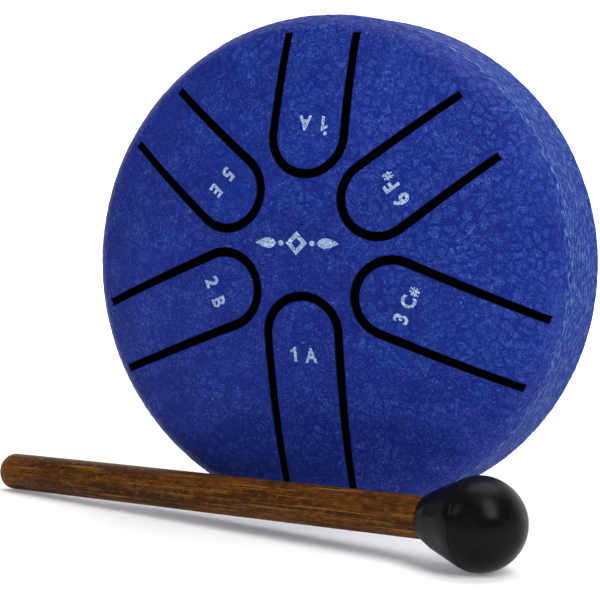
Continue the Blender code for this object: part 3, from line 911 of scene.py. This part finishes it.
def piece_with_normals(name, data, materials):
    """Makes the piece. Painted surfaces take the whole face's normals, so that no line shows where pieces meet."""
    points, faces, slots, given = data
    obj = make_mesh(name, drum_to_row(points), faces, materials, slots)
    mesh = obj.data
    painted = [f for f, s in zip(faces, slots) if s != 2]
    own = vertex_normals(points, painted)
    back = vertex_normals(points, [f for f, s in zip(faces, slots) if s == 2])
    outer = own.copy()
    for i, n in enumerate(given):
        if n is not None:
            outer[i] = n
    # where a wall falls away at the slot's edge, the rounded edge keeps the piece's own normal
    walls = {i for f, s in zip(faces, slots) if s == 0 and any(given[j] is None for j in f) for i in f}
    for i in walls:
        outer[i] = own[i]

    def turned(n):
        return np.stack([n[:, 0], -n[:, 2], n[:, 1]], 1)

    outer, back = turned(outer), turned(back)
    loops = []
    for polygon_ in mesh.polygons:
        source = back if slots[polygon_.index] == 2 else outer
        loops += [tuple(source[i]) for i in polygon_.vertices]
    mesh.normals_split_custom_set(loops)
    return obj


face_pieces = build_face()
for name, data in face_pieces.items():
    node = "top_shell" if name == "shell" else name
    obj = piece_with_normals("face_and_wall" if name == "shell" else name + "_plate", data, [PAINT, INK, INSIDE_AND_SLOT_SHADE])
    if name == "shell":
        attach(obj, "drum")
    else:
        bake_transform(obj)
    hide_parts(node)


# ------------------------------------------------------------------ the base and its feet
def build_base():
    lip, shoulder = R_REAR - SHEET - 0.33, -(WALL_END + 0.35)
    edge = R_REAR - 0.2
    cx = edge - 10.0 * cos(radians(15))
    cz = shoulder + 10.0 * sin(radians(15))
    floor = cz - 10.0
    outside = [(lip - 0.2, shoulder + 3.2), (lip, shoulder + 3.0), (lip, shoulder + 0.05), (edge - 0.25, shoulder + 0.02)]
    outside += [(edge - 0.06, shoulder - 0.08)] + arc(cx, cz, 10.0, -17.5, -90, 26)
    outer = dense(outside, 0.55) + dense([(cx, floor), (0.0, floor)], 0.6)[1:]
    start = len(dense(outside[:4], 0.55))
    points, faces, rings = lathe(outer, 420)
    # the coat's wrinkles along the normals, faint on the lip at the top
    count = len(points)
    radius = np.hypot(points[:, 0], points[:, 1])
    coat = wrinkle(points + np.array([0.0, 0.0, 3.0]), 1.15)
    coat[: start * 420] *= 0.2
    normals = vertex_normals(points, faces)
    outer_points = points + normals * coat[:, None]
    inner_profile = [(0.0, floor + 1.0), (cx, floor + 1.0)] + arc(cx, cz, 9.0, -90, -25, 6)[1:] + [(lip - 1.0, shoulder - 1.0), (lip - 1.0, shoulder + 3.0), (lip - 0.8, shoulder + 3.2)]
    inner_points, inner_faces, inner_rings = lathe(inner_profile, 420)
    shifted = [tuple(i + count for i in f) for f in inner_faces]
    top = [(rings[0][k], rings[0][(k + 1) % 420], inner_rings[-1][(k + 1) % 420] + count, inner_rings[-1][k] + count) for k in range(420)]
    all_faces = faces + shifted + top
    slots = [0] * len(faces) + [1] * len(shifted) + [0] * len(top)
    obj = make_mesh("base_pressing", drum_to_row(np.concatenate([outer_points, inner_points])), all_faces, [PAINT, INSIDE_AND_SLOT_SHADE], slots)
    obj.data.set_sharp_from_angle(angle=radians(50))
    return obj, floor


base, base_floor = build_base()
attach(base, "drum")
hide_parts("bottom_shell")

for letter in "abc":
    low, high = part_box("foot_" + letter)
    x, y = (0.5 * (low.x + high.x) - AX) / MM, (0.5 * (low.z + high.z) - AZ) / MM
    r = 0.5 * (high.x - low.x) / MM
    top, bottom = -(low.y - AY) / MM, -(high.y - AY) / MM
    flange = base_floor - 0.06
    profile = [(0.0, top), (0.9, top - 0.1), (1.6, top - 0.8), (2.2, top - 1.6), (1.5, top - 2.1), (1.5, flange), (r - 0.35, flange)]
    profile += arc(r - 0.35, flange - 0.35, 0.35, 90, 0, 5)[1:]
    profile += [(r, bottom + 0.9)] + arc(r - 0.7, bottom + 0.7, 0.7, 0, -90, 8)[1:]
    profile += [(r - 1.3, bottom), (r - 1.6, bottom + 0.18), (1.0, bottom + 0.22), (0.0, bottom + 0.22)]
    points, faces, _ = lathe(profile, 72)
    foot = make_mesh("rubber_foot_" + letter, drum_to_row(points + np.array([x, y, 0.0])), faces, [FOOT_RUBBER])
    foot.data.set_sharp_from_angle(angle=radians(40))
    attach(foot, "drum")
    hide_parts("foot_" + letter)


# ------------------------------------------------------------------ the beater
def build_stick():
    far = 0.5 - LENGTH
    profile = [(0.0, 1.5), (SHAFT_R - 0.3, 1.5), (SHAFT_R, 1.2)]
    profile += dense([(SHAFT_R, 1.2), (SHAFT_R, far + 2.0)], 0.6)[1:]
    profile += [(SHAFT_R * (1 - t**2.3) ** (1 / 2.3), far + 2.0 - 2.0 * t) for t in (0.2, 0.4, 0.55, 0.68, 0.78, 0.86, 0.92, 0.96, 0.985, 0.997)]
    profile += [(0.0, far)]
    points, faces, _ = lathe(profile, 96)
    # hand-finished: faint flats along the length and a slight waviness
    for i, (x, y, z) in enumerate(points):
        r = hypot(x, y)
        if r > 0.5:
            a = atan2(y, x)
            dent = 0.022 * noise.noise(Vector((2.2 * cos(a), 2.2 * sin(a), z * 0.05))) - 0.012
            dent += 0.012 * noise.noise(Vector((7.0 * cos(a), 7.0 * sin(a), z * 0.12)))
            points[i, 0] *= 1 + dent / r * min(1.0, r / 2.0)
            points[i, 1] *= 1 + dent / r * min(1.0, r / 2.0)
    obj = make_mesh("beater_stick", lie(points), faces, [WOOD])
    obj.data.set_sharp_from_angle(angle=radians(45))
    return obj


def build_head():
    nose = arc(0.0, 0.0, HEAD_R, 90, -4, 30)
    # behind a fine moulded line the ball runs back as a cone
    cone = [(6.405, -0.52), (6.415, -0.60), (6.375, -0.70), (6.32, -0.98), (6.19, -1.5), (5.97, -2.15), (5.56, -3.2)]
    cone += [(4.96, -4.75), (4.28, -6.5), (3.62, -7.85), (3.30, -8.42)]
    lip = [(3.22, -8.56), (3.12, -8.60), (3.02, -8.57), (2.98, -8.4)]
    profile = nose + dense(cone, 0.35) + lip + [(2.98, 1.6), (0.0, 1.6)]
    points, faces, _ = lathe(profile, 128)
    for i, (x, y, z) in enumerate(points):
        if hypot(x, y) > 3.6 or z > 2:
            n = noise.noise(Vector((x, y, z)) * 0.45) * 0.03 - 0.02
            length = max(1e-6, (x * x + y * y + z * z) ** 0.5)
            points[i] += np.array([x, y, z]) / length * n
    obj = make_mesh("beater_head", lie(points), faces, [HEAD_RUBBER])
    obj.data.set_sharp_from_angle(angle=radians(60))
    return obj


for obj, node, slot in ((build_stick(), "mallet_shaft", "wood"), (build_head(), "mallet_head", "mallet_rubber")):
    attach(obj, "mallet")
    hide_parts(node)


# ------------------------------------------------------------------ floor, light and camera
def stage_material():
    """Pale matt floor that brightens into a lit backdrop away from the object."""
    n = Nodes("pale_floor")
    p = n.position(1.0)
    cloud = n.noise(p, 4.0, 2.0)
    far = n.ramp(n.vector("LENGTH", p), 0.22, 0.60)
    n.put(n.shader.inputs["Emission Color"], (1.0, 1.0, 1.0, 1.0))
    n.put(n.shader.inputs["Emission Strength"], n.math("MULTIPLY_ADD", far, 0.80, 0.16))
    return n.done(n.mix(cloud, (0.88, 0.88, 0.88), (0.91, 0.91, 0.91)), 0.8, specular=0.1)


def build_stage():
    """A floor that curves up into a backdrop far behind, with no line between them."""
    section = [(-6.0, 0.0), (-3.0, 0.0), (-1.5, 0.0)] + [(y, 0.0) for y in np.linspace(-1.0, 1.6, 14)]
    section += [(1.6 + 0.9 * sin(radians(a)), 0.9 - 0.9 * cos(radians(a))) for a in range(8, 91, 8)]
    section += [(2.5, 1.2), (2.5, 2.6)]
    points, faces = [], []
    for y, z in section:
        points += [(-6.0, y, z), (6.0, y, z)]
    for k in range(len(section) - 1):
        faces.append((2 * k, 2 * k + 1, 2 * k + 3, 2 * k + 2))
    obj = make_mesh("floor", np.array(points), faces, [stage_material()])


build_stage()


def area(name, place, target, size, power, colour=(1, 1, 1)):
    light = bpy.data.lights.new(name, "AREA")
    light.shape = "RECTANGLE"
    light.size, light.size_y = size
    light.energy = power
    light.color = colour
    obj = bpy.data.objects.new(name, light)
    bpy.context.scene.collection.objects.link(obj)
    obj.location = place
    obj.rotation_euler = (Vector(target) - Vector(place)).to_track_quat("-Z", "Y").to_euler()


middle = (AX, AY, AZ)
area("key", (0.44, -0.36, 0.53), middle, (0.30, 0.55), 4.35)
area("overhead", (0.05, 0.35, 1.20), middle, (1.0, 1.0), 11.0)
area("side_left", (-0.66, -0.55, 0.53), (0.04, -0.02, 0.02), (0.15, 0.42), 1.1)

world = bpy.data.worlds.new("studio")
world.use_nodes = True
world.node_tree.nodes["Background"].inputs["Color"].default_value = (1.0, 1.0, 1.0, 1.0)
world.node_tree.nodes["Background"].inputs["Strength"].default_value = 0.12
bpy.context.scene.world = world
bpy.context.scene.view_settings.view_transform = "Standard"

camera_data = bpy.data.cameras.new("camera")
camera_data.sensor_width = 36.0
camera_data.lens = 1901.3 / 600.0 * 36.0
camera_data.clip_start = 0.01
camera_data.clip_end = 20.0
camera = bpy.data.objects.new("camera", camera_data)
bpy.context.scene.collection.objects.link(camera)
right = Vector((0.92511, 0.37963, 0.00766))
up = Vector((-0.02896, 0.05043, 0.99831))
behind = Vector((0.37860, -0.92376, 0.05764))
turn = Matrix((right, up, behind)).transposed().to_4x4()
camera.matrix_world = Matrix.Translation(Vector((AX, AY, AZ)) + Vector((105.77, -257.43, 11.49)) * MM) @ turn
bpy.context.scene.camera = camera
